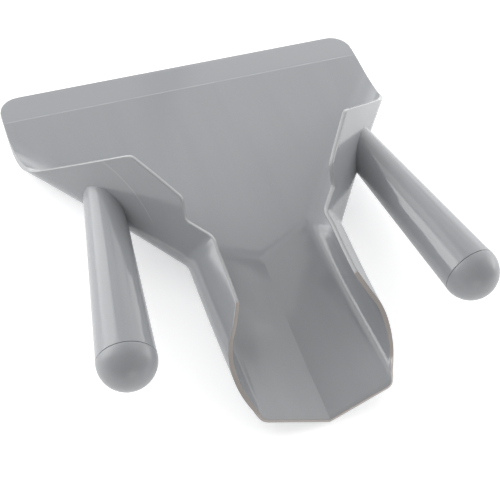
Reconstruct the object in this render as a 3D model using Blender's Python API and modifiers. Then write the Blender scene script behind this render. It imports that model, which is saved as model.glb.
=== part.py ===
"""Two-handled scoop for filling bags with chips, in moulded grey plastic.

Builds the scoop as the separate pieces it is assembled from: a thin-walled body (a wide fan that
narrows into a channel, with a wall round the back of the fan and along the channel), and on each
side a hollow handle held by a screw and a washer, closed by a domed cap.

The shapes are worked out in a design frame in millimetres: X to the right, Y towards the scooping
edge, Z up, with the flat of the fan at Z = 0 and the keel of the channel starting at the origin.
An empty then sets the whole scoop down on its front edge and its keel.
"""

import math

import bmesh
import bpy
import numpy as np
from mathutils import Matrix, Vector

MM = 0.001

# Body: fan and lip
WALL = 2.4                # thickness of the moulding
HALF_WIDTH = 109.2        # centre line to the fan's side edge
FRONT_Y = 148.4           # the scooping edge
CORNER_RADIUS = 12.0      # plan radius of the front corners
LIP_DEPTH = 19.0          # band along the front that thins towards the edge
LIP_EDGE = 1.4            # thickness left at the front edge
SIDE_LEAN = 0.3           # the side edge moves inwards as it climbs the wall, mm per mm
SIDE_CURL = 0.005         # and faster towards the tip, mm per mm squared

# Body: the wall, which bends up out of the floor as a quarter of an ellipse and then leans inwards
CHUTE_OUT = 41.3          # centre line to where the channel's wall is upright
CHUTE_BEND = (10.5, 14.0)         # half width and half height of the bend
CHUTE_LEAN = math.radians(37.4)
SHOULDER_ANGLE = math.radians(35.0)   # of the shoulder in plan at the neck, from the Y axis
SHOULDER_OUT = 35.0       # from the origin, square to the shoulder, to where its wall is upright
SHOULDER_BEND = (19.4, 14.0)
SHOULDER_LEAN = (math.radians(25.6), math.radians(18.5))    # at the neck and at the tip
SHOULDER_RUN = 110.0      # from the neck to the tip
SHOULDER_FLARE = 3.5      # the shoulder curves outwards by this much on the way to the tip
LEAN_LENGTH = 44.0        # length of the leaning face that a full section has
NECK_ROUND = 7.0          # half length of the rounded corner at the neck

# Body: the channel's V-shaped floor
KEEL_DEPTH = 6.2          # keel below the fan's floor
KEEL_RUN = 70.0           # length over which the keel drops
VEE_SLOPE = 0.27          # cross slope of the floor at the channel's end
VEE_RUN = 100.0           # length over which the cross slope grows

# Body: height of the rim, by distance from the neck (negative along the channel)
RIM = (
    (-60.0, 30.0), (-35.5, 31.5), (3.5, 33.7), (21.3, 33.9), (31.0, 43.8), (68.5, 51.3), (111.5, 6.3))
RIM_ROUND = 2.2           # the rim's corners are rounded over this distance to each side
RIM_TIP_RANGE = (60.0, 125.0)     # the rim meets the fan's outline between these distances
RIM_END_RANGE = (-30.0, -80.0)    # and the channel's cut end between these
RIM_MIDDLE = 0.45         # share of the rim, from the end, at which rows run square across

# Body: side view of the channel's cut end, as height and distance along Y
END_CUT = (
    (-8.0, -100.2), (-6.0, -99.1), (3.0, -94.2), (3.7, -91.5), (4.8, -86.0), (6.4, -81.4), (10.3, -73.7),
    (14.8, -66.3), (20.2, -59.5), (25.4, -53.0), (29.7, -46.2), (33.0, -40.3), (40.0, -28.0))
END_ROUND = 0.8

# Handles (right-hand one; the left one is its mirror image)
HANDLE_ROOT = Vector((74.2, 43.4, 17.0))
HANDLE_SEAM = Vector((90.6, -55.8, 25.6))
ROOT_RADIUS = 10.4
SEAM_RADIUS = 14.8
HANDLE_WALL = 2.6
SEAM_GAP = 0.35           # shadow line between handle and cap
GAP = 0.3                 # clearance between pieces that touch

# Fixing inside the handle, as distances along its axis from the root
STUD_RADIUS = 6.2
STUD_TOP = 13.0
STUD_CHAMFER = 0.8
STUD_BURIED = 12.0        # the stud is drawn this far below the root, then trimmed by the wall
HANDLE_BURIED = 14.0      # and the handle this far
SADDLE_RUN = (15.0, 85.0)         # stretch of the shoulder whose inside trims them
SADDLE_DEPTH = 40.0
WEB_THICKNESS = 4.0
PILOT_RADIUS = 2.2
SHANK_RADIUS = 1.85
SHANK_LENGTH = 14.0
HEAD_RADIUS = 4.0
HEAD_HEIGHT = 2.8
WASHER_RADIUS = 5.6
WASHER_THICKNESS = 1.2
SOCKET_RADIUS = 1.6
SOCKET_DEPTH = 1.6

# Cap
SKIRT_LENGTH = 11.0
SKIRT_PLAY = 0.5          # between the skirt and the bore
CAP_WALL = 2.4
EDGE_BREAK = 0.4          # small chamfer on the outer edges of handle and cap
FINE_BREAK = 0.3          # and on the washer and the skirt's end
BEAD_HEIGHT = 0.45        # snap bead on the skirt, and its groove in the handle
BEAD_WIDTH = 2.0
BEAD_AT = 7.0             # from the seam
BEAD_PLAY = 0.15

TURN_STEPS = 28           # sides of the turned pieces
SMALL_STEPS = 20


# ---------------------------------------------------------------- scene helpers


def clear_scene():
    """Remove every object, so the script can be run again."""
    for obj in list(bpy.data.objects):
        bpy.data.objects.remove(obj, do_unlink=True)


def make_collection(name, hidden=False):
    """A collection linked to the scene."""
    collection = bpy.data.collections.new(name)
    bpy.context.scene.collection.children.link(collection)
    collection.hide_render = hidden
    return collection


def make_material(name, rgb, roughness, metallic=0.0):
    """A plain Principled material."""
    material = bpy.data.materials.new(name)
    material.use_nodes = True
    shader = material.node_tree.nodes["Principled BSDF"]
    shader.inputs["Base Color"].default_value = (*rgb, 1.0)
    shader.inputs["Roughness"].default_value = roughness
    shader.inputs["Metallic"].default_value = metallic
    return material


def add_object(name, mesh, collection, material=None):
    """An object for a mesh, in a collection."""
    obj = bpy.data.objects.new(name, mesh)
    collection.objects.link(obj)
    if material is not None:
        mesh.materials.append(material)
    return obj


def as_cutter(obj):
    """Mark an object as a tool for Booleans, not a part."""
    obj.hide_render = True
    obj.display_type = "WIRE"
    return obj


def add_boolean(obj, operand, operation):
    """An exact Boolean with another object."""
    modifier = obj.modifiers.new(f"{operation.lower()}_{operand.name}", "BOOLEAN")
    modifier.operation = operation
    modifier.solver = "EXACT"
    modifier.object = operand
    return modifier


def shade(obj, degrees):
    """Smooth shading that keeps edges sharper than an angle."""
    obj.data.shade_smooth()
    obj.data.set_sharp_from_angle(angle=math.radians(degrees))


# ---------------------------------------------------------------- the body's sheet


def averaged_line(at, knots, half_width):
    """A broken line through knots with its corners rounded, by averaging it over a short window."""
    x, y = np.array(knots).T
    window = np.linspace(-half_width, half_width, 9)
    return np.mean([np.interp(at + step, x, y) for step in window], axis=0)


def smooth_step(t):
    """0 to 1 with level ends."""
    t = np.clip(t, 0.0, 1.0)
    return t * t * (3.0 - 2.0 * t)


def section(outermost, floor, bend, start, lean, v):
    """Wall section: v = 1 at the floor's edge, 2 at the end of the bend, 3 at the top of the lean.

    floor is the height where the bend starts, with the slope start; the bend is part of an ellipse
    that is upright at the distance outermost.
    """
    half_width, half_height = bend
    first = np.arctan(start * half_width / half_height)
    last = math.pi / 2 + np.arctan(np.tan(lean) * half_height / half_width)
    turn = first + np.clip(v - 1.0, 0.0, 1.0) * (last - first)
    rise = np.clip(v - 2.0, 0.0, None) * LEAN_LENGTH
    out = outermost - half_width * (1.0 - np.sin(turn)) - rise * np.sin(lean)
    up = floor + half_height * (np.cos(first) - np.cos(turn)) + rise * np.cos(lean)
    return out, up


def bend_start(outermost, bend, start):
    """Distance from the centre line at which a bend starts."""
    half_width, half_height = bend
    return outermost - half_width * (1.0 - np.sin(np.arctan(start * half_width / half_height)))


def sheet_point(s, v):
    """Middle surface of the moulding.

    v runs across: 0 on the centre line, 1 where the wall's bend starts, 2 where it ends, 3 at the
    top of a full wall. s is the distance from the neck's corner: back along the channel when
    negative, and out along the shoulder, or forwards in the fan, when positive.
    """
    back = np.clip(-s, 0.0, None)
    ahead = np.clip(s, 0.0, None)
    across = np.clip(v, 0.0, 1.0)
    on_floor = v < 1.0
    cos_shoulder = math.cos(SHOULDER_ANGLE)
    sin_shoulder = math.sin(SHOULDER_ANGLE)

    # the channel: a V floor that deepens along the keel, and the wall beside it
    keel = -KEEL_DEPTH * (1.0 - (1.0 - np.clip(back / KEEL_RUN, 0.0, 1.0)) ** 2)
    slope = VEE_SLOPE * np.clip(back / VEE_RUN, 0.0, 1.0)
    floor_x = bend_start(CHUTE_OUT, CHUTE_BEND, slope)
    wall_x, wall_z = section(CHUTE_OUT, keel + slope * floor_x, CHUTE_BEND, slope, CHUTE_LEAN, v)
    chute_x = np.where(on_floor, across * floor_x, wall_x)
    chute_z = np.where(on_floor, keel + slope * across * floor_x, wall_z)

    # the shoulder: distances n square to its direction; its lean eases off towards the tip
    near, far = SHOULDER_LEAN
    lean = near + (far - near) * np.clip(ahead / SHOULDER_RUN, 0.0, 1.0)
    outermost = SHOULDER_OUT + SHOULDER_FLARE * (ahead / SHOULDER_RUN) ** 2
    wall_n, shoulder_z = section(outermost, 0.0, SHOULDER_BEND, 0.0, lean, v)
    shoulder_z = np.where(on_floor, 0.0, shoulder_z)

    # the corner on each line of constant v, where its channel and shoulder runs meet
    neck_x = bend_start(CHUTE_OUT, CHUTE_BEND, 0.0)
    neck_n = SHOULDER_OUT - SHOULDER_BEND[0]
    neck_y = (neck_x * cos_shoulder - neck_n) / sin_shoulder
    corner_x, _ = section(CHUTE_OUT, 0.0, CHUTE_BEND, 0.0, CHUTE_LEAN, v)
    corner_n, _ = section(SHOULDER_OUT, 0.0, SHOULDER_BEND, 0.0, near, v)
    corner_y = np.where(on_floor, neck_y * across, (corner_x * cos_shoulder - corner_n) / sin_shoulder)

    angle = SHOULDER_ANGLE * across
    ramp = np.where(s > NECK_ROUND, s, np.clip(s + NECK_ROUND, 0.0, None) ** 2 / (4.0 * NECK_ROUND))
    shift = across * (wall_n - corner_n)
    x = chute_x + np.sin(angle) * ramp + cos_shoulder * shift
    y = corner_y + (s - ramp) + np.cos(angle) * ramp - sin_shoulder * shift
    mix = smooth_step((s + NECK_ROUND) / (2.0 * NECK_ROUND))
    return x, y, chute_z * (1.0 - mix) + shoulder_z * mix


def bisect(low, high, inside):
    """Where inside() turns from true at low to false at high, for whole arrays."""
    low = np.array(low, dtype=float)
    high = np.array(high, dtype=float)
    for _ in range(40):
        middle = (low + high) / 2.0
        is_inside = inside(middle)
        low = np.where(is_inside, middle, low)
        high = np.where(is_inside, high, middle)
    return low


def inside_fan(x, y, z):
    """True inside the fan's outline: a rectangle with round corners, whose sides lean in with height."""
    height = np.clip(z, 0.0, None)
    half = HALF_WIDTH - SIDE_LEAN * height - SIDE_CURL * height ** 2
    dx = np.clip(x - (half - CORNER_RADIUS), 0.0, None)
    dy = np.clip(y - (FRONT_Y - CORNER_RADIUS), 0.0, None)
    return np.hypot(dx, dy) < CORNER_RADIUS


def in_front_of_end(y, z):
    """True forward of the channel's cut end."""
    return y > averaged_line(z, END_CUT, END_ROUND)


def rim_v(s):
    """v at the rim, for each distance from the neck."""
    height = averaged_line(s, RIM, RIM_ROUND)
    s = np.asarray(s, dtype=float)
    low, high = np.full(s.shape, 1.0), np.full(s.shape, 3.0)
    return bisect(low, high, lambda v: sheet_point(s, v)[2] < height)


def sheet_grid(rim_samples, floor_samples, wall_samples):
    """Grid of points over the right half of the sheet: rows from the channel's end to the front."""
    def rim_inside_fan(s):
        return inside_fan(*sheet_point(s, rim_v(s)))

    def rim_before_end(s):
        x, y, z = sheet_point(s, rim_v(s))
        return in_front_of_end(y, z)

    s_tip = float(bisect(*RIM_TIP_RANGE, rim_inside_fan))
    s_end = float(bisect(*RIM_END_RANGE, rim_before_end))
    v_tip = float(rim_v(s_tip))
    v_end = float(rim_v(s_end))

    wall_part = np.concatenate((np.zeros(len(floor_samples) - 1), np.array(wall_samples)))
    floor_part = np.concatenate((np.array(floor_samples)[:-1], np.ones(len(wall_samples))))

    def across(v_rim):
        return floor_part + wall_part * (v_rim - 1.0)

    v_front, v_back = across(v_tip), across(v_end)
    start = np.full(v_front.shape, 20.0)
    front = bisect(start, start + 180.0, lambda s: inside_fan(*sheet_point(s, v_front)))
    back = bisect(-start, -start - 110.0, lambda s: in_front_of_end(*sheet_point(s, v_back)[1:]))

    samples = np.array(rim_samples)
    s_rim = s_end + (s_tip - s_end) * samples
    to_back = np.clip(1.0 - samples / RIM_MIDDLE, 0.0, 1.0)[:, None] ** 2
    to_front = np.clip((samples - RIM_MIDDLE) / (1.0 - RIM_MIDDLE), 0.0, 1.0)[:, None] ** 2
    s = s_rim[:, None] + (back - s_end)[None] * to_back + (front - s_tip)[None] * to_front
    v_rim = rim_v(np.clip(s, s_end, s_tip))
    v = floor_part[None] + wall_part[None] * (v_rim - 1.0)
    return np.stack(sheet_point(s, v), axis=-1)


def rim_spacing():
    """Rows of the grid, closer together at the neck's corner, the step in the rim and both ends."""
    return np.concatenate((
        np.linspace(0.0, 0.16, 7, endpoint=False),
        np.linspace(0.16, 0.27, 3, endpoint=False),
        np.linspace(0.27, 0.47, 20, endpoint=False),
        np.linspace(0.47, 0.66, 4, endpoint=False),
        np.linspace(0.66, 0.74, 4, endpoint=False),
        np.linspace(0.74, 1.0, 9),
    ))


def build_body(parts, cutters, material):
    """The one-piece moulding: half of the sheet, mirrored, thickened, and joined to two studs."""
    floor_samples = np.concatenate((
        np.linspace(0.0, 0.7, 3, endpoint=False), np.linspace(0.7, 0.92, 6, endpoint=False), [0.92, 1.0]))
    wall_samples = np.concatenate((np.linspace(0.0, 0.6, 9, endpoint=False), np.linspace(0.6, 1.0, 4)))
    grid = sheet_grid(rim_spacing(), floor_samples, wall_samples)
    grid[:, 0, 0] = 0.0
    rows, columns = grid.shape[:2]

    index = np.arange(rows * columns).reshape(rows, columns)
    faces = np.stack(
        (index[:-1, :-1], index[:-1, 1:], index[1:, 1:], index[1:, :-1]), axis=-1).reshape(-1, 4)
    mesh = bpy.data.meshes.new("scoop_body")
    mesh.from_pydata((grid.reshape(-1, 3) * MM).tolist(), [], faces.tolist())
    body = add_object("scoop_body", mesh, parts, material)

    thinning = body.vertex_groups.new(name="thickness")
    y = grid[:, :, 1].reshape(-1)
    share = np.clip((y - (FRONT_Y - LIP_DEPTH)) / LIP_DEPTH, 0.0, 1.0)
    weights = 1.0 - share * (1.0 - LIP_EDGE / WALL)
    for vertex, weight in enumerate(weights):
        thinning.add([vertex], float(weight), "REPLACE")

    mirror = body.modifiers.new("mirror", "MIRROR")
    mirror.use_axis[0] = True
    mirror.merge_threshold = 0.00005
    solid = body.modifiers.new("wall", "SOLIDIFY")
    solid.thickness = WALL * MM
    solid.offset = 0.0
    solid.use_even_offset = True
    solid.vertex_group = "thickness"
    for side in (-1, 1):
        add_boolean(body, build_stud(cutters, side), "UNION")
        add_boolean(body, build_pilot(cutters, side), "DIFFERENCE")
    shade(body, 35)
    return body


# ---------------------------------------------------------------- turned pieces


def handle_frame(side):
    """Matrix whose Z axis runs along the handle from its root; side is 1 on the right, -1 on the left."""
    root = Vector((side * HANDLE_ROOT.x, HANDLE_ROOT.y, HANDLE_ROOT.z))
    seam = Vector((side * HANDLE_SEAM.x, HANDLE_SEAM.y, HANDLE_SEAM.z))
    turn = (seam - root).to_track_quat("Z", "Y").to_matrix().to_4x4()
    return Matrix.Translation(root * MM) @ turn


def handle_length():
    """Distance from the root to the seam."""
    return (HANDLE_SEAM - HANDLE_ROOT).length


def outer_radius(along):
    """Outside radius of the tapered handle at a distance from its root."""
    return ROOT_RADIUS + (SEAM_RADIUS - ROOT_RADIUS) * along / handle_length()


def turned_mesh(name, profile, steps):
    """Mesh of a profile of (radius, height) pairs turned about Z, which starts and ends on the axis
    or closes on itself. Along the outside the profile runs from top to bottom."""
    mesh = bpy.data.meshes.new(name)
    points = [(radius * MM, 0.0, height * MM) for radius, height in profile]
    edges = [(i, i + 1) for i in range(len(points) - 1)]
    if profile[0][0] > 0.0 and profile[-1][0] > 0.0:
        edges.append((len(points) - 1, 0))
    mesh.from_pydata(points, edges, [])
    obj = bpy.data.objects.new(f"{name}_profile", mesh)
    bpy.context.scene.collection.objects.link(obj)
    screw = obj.modifiers.new("turn", "SCREW")
    screw.steps = steps
    screw.render_steps = steps
    screw.use_merge_vertices = True
    screw.merge_threshold = 0.00001
    graph = bpy.context.evaluated_depsgraph_get()
    turned = bpy.data.meshes.new_from_object(obj.evaluated_get(graph))
    turned.name = name
    bpy.data.objects.remove(obj, do_unlink=True)
    return turned


def arc(centre, radius, first, last, count):
    """Points of an arc in the profile plane; angles in degrees from the radius axis."""
    angles = np.radians(np.linspace(first, last, count))
    return [(max(0.0, radius * math.cos(a)), centre + radius * math.sin(a)) for a in angles]


def place(obj, frame):
    """Put an object at a frame."""
    obj.matrix_world = frame
    return obj


def shoulder_prism(name, collection, side, offset):
    """Solid that fills the inside of one shoulder, up to the wall's middle surface plus an offset."""
    samples = np.concatenate((np.linspace(1.0, 2.0, 22), [3.0]))
    mesh = bpy.data.meshes.new(name)
    shape = bmesh.new()
    rings = []
    for s in np.linspace(*SADDLE_RUN, 8):
        x, y, z = (np.array(values) for values in sheet_point(np.full(samples.shape, s), samples))
        lean = SHOULDER_LEAN[0] + (SHOULDER_LEAN[1] - SHOULDER_LEAN[0]) * s / SHOULDER_RUN
        n = x * math.cos(SHOULDER_ANGLE) - y * math.sin(SHOULDER_ANGLE)
        tangent = np.stack((np.gradient(n), np.gradient(z)))
        tangent[:, -2:] = [[-math.sin(lean)], [math.cos(lean)]]
        tangent /= np.hypot(*tangent)
        x = x + offset * tangent[1] * math.cos(SHOULDER_ANGLE)
        y = y - offset * tangent[1] * math.sin(SHOULDER_ANGLE)
        z = z - offset * tangent[0]
        back_x = x[0] - SADDLE_DEPTH * math.cos(SHOULDER_ANGLE)
        back_y = y[0] + SADDLE_DEPTH * math.sin(SHOULDER_ANGLE)
        outline = [(back_x, back_y, z[0]), *zip(x, y, z), (back_x, back_y, z[-1])]
        rings.append([shape.verts.new((side * px * MM, py * MM, pz * MM)) for px, py, pz in outline])
    shape.faces.new(rings[0])
    shape.faces.new(rings[-1])
    count = len(rings[0])
    for first, second in zip(rings, rings[1:]):
        for i in range(count):
            j = (i + 1) % count
            shape.faces.new((first[i], first[j], second[j], second[i]))
    bmesh.ops.recalc_face_normals(shape, faces=shape.faces)
    shape.to_mesh(mesh)
    shape.free()
    return as_cutter(add_object(name, mesh, collection))


def build_stud(cutters, side):
    """The stud moulded on the wall's outside, which the handle slips over."""
    name = f"stud_{side_name(side)}"
    profile = [
        (0.0, STUD_TOP), (STUD_RADIUS - STUD_CHAMFER, STUD_TOP), (STUD_RADIUS, STUD_TOP - STUD_CHAMFER),
        (STUD_RADIUS, -STUD_BURIED), (0.0, -STUD_BURIED)]
    stud = add_object(name, turned_mesh(name, profile, SMALL_STEPS), cutters)
    place(stud, handle_frame(side))
    add_boolean(stud, shoulder_prism(f"inside_{side_name(side)}", cutters, side, 0.0), "DIFFERENCE")
    return as_cutter(stud)


def build_pilot(cutters, side):
    """The blind hole in the stud that the screw bites into."""
    name = f"pilot_{side_name(side)}"
    bottom = STUD_TOP + GAP + WEB_THICKNESS + GAP + WASHER_THICKNESS + GAP - SHANK_LENGTH - 1.5
    profile = [(0.0, STUD_TOP + 3.0), (PILOT_RADIUS, STUD_TOP + 3.0), (PILOT_RADIUS, bottom), (0.0, bottom)]
    pilot = add_object(name, turned_mesh(name, profile, SMALL_STEPS), cutters)
    return as_cutter(place(pilot, handle_frame(side)))


def build_handle(parts, cutters, material, side):
    """A hollow tapered handle: socket over the stud, web for the screw, bore that the cap closes."""
    name = f"handle_{side_name(side)}"
    top = handle_length() - SEAM_GAP / 2.0
    socket = STUD_RADIUS + GAP
    web_low = STUD_TOP + GAP
    web_high = web_low + WEB_THICKNESS
    groove_low = top - BEAD_AT - BEAD_WIDTH / 2.0 - GAP
    groove_high = top - BEAD_AT + BEAD_WIDTH / 2.0 + GAP

    def bore(along):
        return outer_radius(along) - HANDLE_WALL

    groove = BEAD_HEIGHT + BEAD_PLAY
    low = -HANDLE_BURIED
    profile = [
        (outer_radius(top) - EDGE_BREAK, top),
        (outer_radius(top), top - EDGE_BREAK),
        (outer_radius(low), low),
        (socket, low),
        (socket, web_low),
        (PILOT_RADIUS, web_low),
        (PILOT_RADIUS, web_high),
        (bore(web_high), web_high),
        (bore(groove_low), groove_low),
        (bore(top - BEAD_AT) + groove, top - BEAD_AT),
        (bore(groove_high), groove_high),
        (bore(top), top),
    ]
    handle = add_object(name, turned_mesh(name, profile, TURN_STEPS), parts, material)
    place(handle, handle_frame(side))
    inner = shoulder_prism(f"saddle_{side_name(side)}", cutters, side, WALL / 2.0 + GAP)
    add_boolean(handle, inner, "DIFFERENCE")
    shade(handle, 35)
    return handle


def build_cap(parts, material, side):
    """The domed cap: half a ball with a skirt that plugs the handle's bore and a snap bead."""
    name = f"end_cap_{side_name(side)}"
    seam = handle_length() + SEAM_GAP / 2.0
    dome = outer_radius(handle_length())
    skirt_radius = dome - HANDLE_WALL - SKIRT_PLAY
    inner = skirt_radius - CAP_WALL
    bead_at = handle_length() - SEAM_GAP / 2.0 - BEAD_AT
    skirt_end = seam - SKIRT_LENGTH
    taper = (SEAM_RADIUS - ROOT_RADIUS) / handle_length()

    def skirt(along):
        return skirt_radius - taper * (seam - along)

    dome_points = arc(seam, dome, 90.0, 0.0, 9)
    hollow = arc(seam, inner, 0.0, 90.0, 6)
    profile = [
        *dome_points[:-1],
        (dome, seam + EDGE_BREAK),
        (dome - EDGE_BREAK, seam),
        (skirt_radius, seam),
        (skirt(bead_at + BEAD_WIDTH / 2.0), bead_at + BEAD_WIDTH / 2.0),
        (skirt(bead_at) + BEAD_HEIGHT, bead_at),
        (skirt(bead_at - BEAD_WIDTH / 2.0), bead_at - BEAD_WIDTH / 2.0),
        (skirt(skirt_end) - FINE_BREAK, skirt_end),
        (skirt(skirt_end) - CAP_WALL, skirt_end),
        *hollow,
    ]
    cap = add_object(name, turned_mesh(name, profile, TURN_STEPS), parts, material)
    place(cap, handle_frame(side))
    shade(cap, 35)
    return cap


def build_washer(parts, material, side):
    """The flat washer on the handle's web."""
    name = f"screw_washer_{side_name(side)}"
    low = STUD_TOP + GAP + WEB_THICKNESS + GAP
    high = low + WASHER_THICKNESS
    profile = [
        (WASHER_RADIUS - FINE_BREAK, high), (WASHER_RADIUS, high - FINE_BREAK), (WASHER_RADIUS, low),
        (PILOT_RADIUS, low), (PILOT_RADIUS, high)]
    washer = add_object(name, turned_mesh(name, profile, SMALL_STEPS), parts, material)
    shade(washer, 35)
    return place(washer, handle_frame(side))


def build_screw(parts, cutters, material, side):
    """The pan-head screw that pulls the handle on to its stud, with a hex socket in its head."""
    name = f"handle_screw_{side_name(side)}"
    seat = STUD_TOP + GAP + WEB_THICKNESS + GAP + WASHER_THICKNESS + GAP
    top = seat + HEAD_HEIGHT
    tip = seat - SHANK_LENGTH
    profile = [
        (0.0, top), (HEAD_RADIUS * 0.55, top), (HEAD_RADIUS * 0.86, top - 0.6), (HEAD_RADIUS, top - 1.5),
        (HEAD_RADIUS, seat), (SHANK_RADIUS, seat), (SHANK_RADIUS, tip + 2.5), (0.0, tip)]
    screw = add_object(name, turned_mesh(name, profile, SMALL_STEPS), parts, material)
    socket_mesh = bpy.data.meshes.new(f"hex_socket_{side_name(side)}")
    shape = bmesh.new()
    bmesh.ops.create_cone(
        shape, cap_ends=True, segments=6, radius1=SOCKET_RADIUS * MM, radius2=SOCKET_RADIUS * MM,
        depth=2.0 * SOCKET_DEPTH * MM, matrix=Matrix.Translation((0.0, 0.0, top * MM)))
    shape.to_mesh(socket_mesh)
    shape.free()
    socket = as_cutter(add_object(socket_mesh.name, socket_mesh, cutters))
    place(socket, handle_frame(side))
    place(screw, handle_frame(side))
    add_boolean(screw, socket, "DIFFERENCE")
    shade(screw, 35)
    return screw


def side_name(side):
    """Name of a side as the user holds the scoop."""
    return "right" if side > 0 else "left"


# ---------------------------------------------------------------- resting pose


def rest_empty(parts):
    """Empty that sets the scoop down on its front edge and its keel.

    The world origin is on the table, below the middle of the scoop's length.
    """
    s = np.linspace(0.0, -115.0, 231)
    _, keel_y, keel_z = sheet_point(s, np.zeros(s.shape))
    kept = in_front_of_end(keel_y, keel_z)
    cross_slope = VEE_SLOPE * np.clip(-s[kept] / VEE_RUN, 0.0, 1.0)
    keel_low = keel_z[kept] - WALL / 2.0 * np.hypot(1.0, cross_slope)
    front_low = -LIP_EDGE / 2.0
    tilt = math.atan(float(np.min((keel_low - front_low) / (FRONT_Y - keel_y[kept]))))
    middle = (FRONT_Y + float(keel_y[kept].min())) / 2.0 * math.cos(tilt)
    drop = FRONT_Y * math.sin(tilt) + front_low * math.cos(tilt)
    empty = bpy.data.objects.new("rest_pose", None)
    parts.objects.link(empty)
    empty.rotation_euler = (tilt, 0.0, 0.0)
    empty.location = (0.0, -middle * MM, -drop * MM)
    return empty


def main():
    """Build every piece and set the scoop down."""
    clear_scene()
    parts = make_collection("two_handled_scoop")
    cutters = make_collection("cutters", hidden=True)
    grey = make_material("moulded_grey", (0.36, 0.37, 0.39), 0.38)
    steel = make_material("stainless", (0.55, 0.56, 0.57), 0.3, 1.0)
    body = build_body(parts, cutters, grey)
    pieces = [body]
    for side in (-1, 1):
        pieces.append(build_handle(parts, cutters, grey, side))
        pieces.append(build_cap(parts, grey, side))
        pieces.append(build_washer(parts, steel, side))
        pieces.append(build_screw(parts, cutters, steel, side))
    rest = rest_empty(parts)
    for obj in [*pieces, *cutters.objects]:
        obj.parent = rest


main()
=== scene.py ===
"""Looks of the two-handled chip scoop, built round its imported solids.

The body, handles and end caps are made again as fine surfaces in the sizes of their solids, from the
same formulas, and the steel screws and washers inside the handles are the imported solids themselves.
Shapes are worked out in a design frame in millimetres: X to the right, Y towards the scooping edge, Z
up, with the flat of the fan at Z = 0. The resting pose then carries them to the row frame, in metres.
"""

import logging
import math
from dataclasses import dataclass
from enum import Enum
from typing import Any, Callable

import bpy
import numpy as np
from mathutils import Matrix, Vector

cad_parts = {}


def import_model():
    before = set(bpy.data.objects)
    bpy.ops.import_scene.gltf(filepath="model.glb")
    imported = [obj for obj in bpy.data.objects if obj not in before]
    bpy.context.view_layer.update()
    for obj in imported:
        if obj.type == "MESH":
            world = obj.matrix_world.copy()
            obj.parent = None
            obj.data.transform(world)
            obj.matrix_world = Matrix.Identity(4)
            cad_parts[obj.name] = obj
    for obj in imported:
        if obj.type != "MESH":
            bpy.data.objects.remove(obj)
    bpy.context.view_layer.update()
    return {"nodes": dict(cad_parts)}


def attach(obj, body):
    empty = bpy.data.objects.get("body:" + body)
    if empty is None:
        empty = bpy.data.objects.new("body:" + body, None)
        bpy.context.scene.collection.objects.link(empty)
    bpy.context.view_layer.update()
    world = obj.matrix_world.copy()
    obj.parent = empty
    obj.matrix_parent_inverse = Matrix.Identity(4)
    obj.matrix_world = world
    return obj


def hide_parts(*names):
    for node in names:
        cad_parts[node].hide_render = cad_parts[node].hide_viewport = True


Array = np.ndarray
Object, Material = bpy.types.Object, bpy.types.Material
Tree, Socket = bpy.types.NodeTree, bpy.types.NodeSocket
MM = 0.001
WHITE = (1.0, 1.0, 1.0, 1.0)
LOG = logging.getLogger("scoop")
NOISE_RANGE = {"From Min": 0.3, "From Max": 0.7}    # a noise texture mostly stays between these


class Side(Enum):
    """The two sides of the scoop, as its user holds it."""

    LEFT = -1
    RIGHT = 1

    @property
    def label(self) -> str:
        """Name used in the pieces' names."""
        return self.name.lower()


# -------- meshes


def smooth_step(t: Array) -> Array:
    """3t^2 - 2t^3 with t held between 0 and 1."""
    t = np.clip(t, 0.0, 1.0)
    return t * t * (3.0 - 2.0 * t)


def bisect(low: Array, high: Array, inside: Callable[[Array], Array]) -> Array:
    """Find where a test turns from true to false, by halving the interval for whole arrays.

    Args:
        low: Values for which the test is true.
        high: Values for which the test is false.
        inside: The test.

    Returns:
        The last value found for which the test is true.
    """
    low = np.array(low, dtype=float)
    high = np.array(high, dtype=float)
    for _ in range(40):
        middle = (low + high) / 2.0
        is_inside = inside(middle)
        low = np.where(is_inside, middle, low)
        high = np.where(is_inside, high, middle)
    return low


def grid_quads(rows: int, columns: int, wrap: bool = False) -> Array:
    """Quads of a grid of points numbered row by row.

    Args:
        rows: Number of rows.
        columns: Number of columns.
        wrap: Whether the last column joins the first.

    Returns:
        An array of four point numbers for each quad.
    """
    index = np.arange(rows * columns).reshape(rows, columns)
    if wrap:
        index = np.concatenate((index, index[:, :1]), axis=1)
    corners = (index[:-1, :-1], index[:-1, 1:], index[1:, 1:], index[1:, :-1])
    return np.stack(corners, axis=-1).reshape(-1, 4)


def add_object(name: str, data: bpy.types.ID) -> Object:
    """Add an object with its data to the scene."""
    made = bpy.data.objects.new(name, data)
    bpy.context.scene.collection.objects.link(made)
    return made


def make_piece(name: str, points: Array, faces: list[list[int]], crease: float) -> Object:
    """A smooth-shaded object from points in metres, at the origin.

    Args:
        name: Name of the piece.
        points: One point a row.
        faces: Point numbers of each face.
        crease: Angle in degrees above which an edge stays sharp.

    Returns:
        The object.
    """
    mesh = bpy.data.meshes.new(name)
    mesh.from_pydata(points.tolist(), [], faces)
    mesh.validate()
    mesh.shade_smooth()
    mesh.set_sharp_from_angle(angle=math.radians(crease))
    return add_object(name, mesh)


def declare(piece: Object, node: str | None = None) -> None:
    """Attach a plastic piece to the root body, and hide the solid that it stands for, where one is named.
    """
    if node is not None:
        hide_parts(node)
    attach(piece, "root")


def paint(piece: Object, name: str, values: Array) -> None:
    """Store one number a point on a piece, for its material to read."""
    attribute = piece.data.attributes.new(name, "FLOAT", "POINT")
    attribute.data.foreach_set("value", values.astype(np.float32).ravel())


# -------- the body's sheet


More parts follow.
